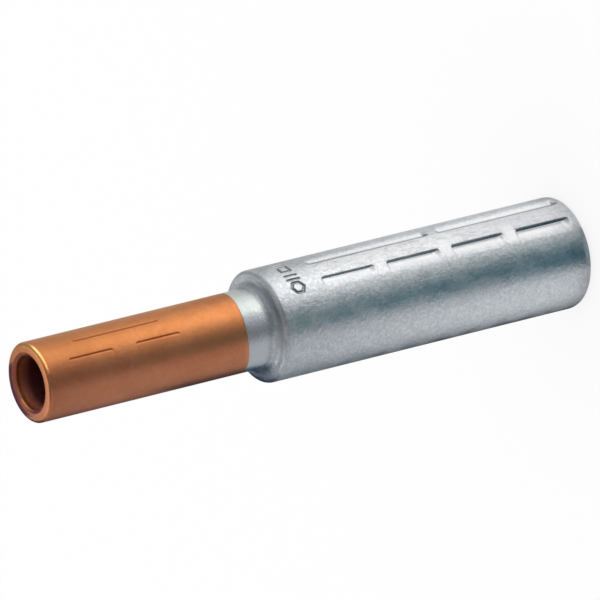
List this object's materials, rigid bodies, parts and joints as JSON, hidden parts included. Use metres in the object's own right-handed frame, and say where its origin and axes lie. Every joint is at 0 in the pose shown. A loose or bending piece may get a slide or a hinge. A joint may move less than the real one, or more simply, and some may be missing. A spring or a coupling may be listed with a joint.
{
  "type": "bimetal compression connector",
  "caption": "Aluminium-copper compression connector: a thick aluminium barrel with a turned neck, welded end to end to a thinner copper sleeve, both blind bored and stamped with crimp marks.",
  "frame": {"origin": "centre of the aluminium mouth's face, on the bore axis, where the part stands", "axes": "+Z along the common bore axis, from the aluminium mouth to the copper mouth; -Y is the front that the picture looks at, +X its right"},
  "size_m": [0.014, 0.014, 0.0771],
  "materials": {
    "tumbled_aluminium": "satin, lightly mottled by tumbling",
    "turned_copper": null
  },
  "bodies": {
    "root": {"aluminium_sleeve": "tumbled_aluminium", "copper_sleeve": "turned_copper"}
  },
  "joints": []
}
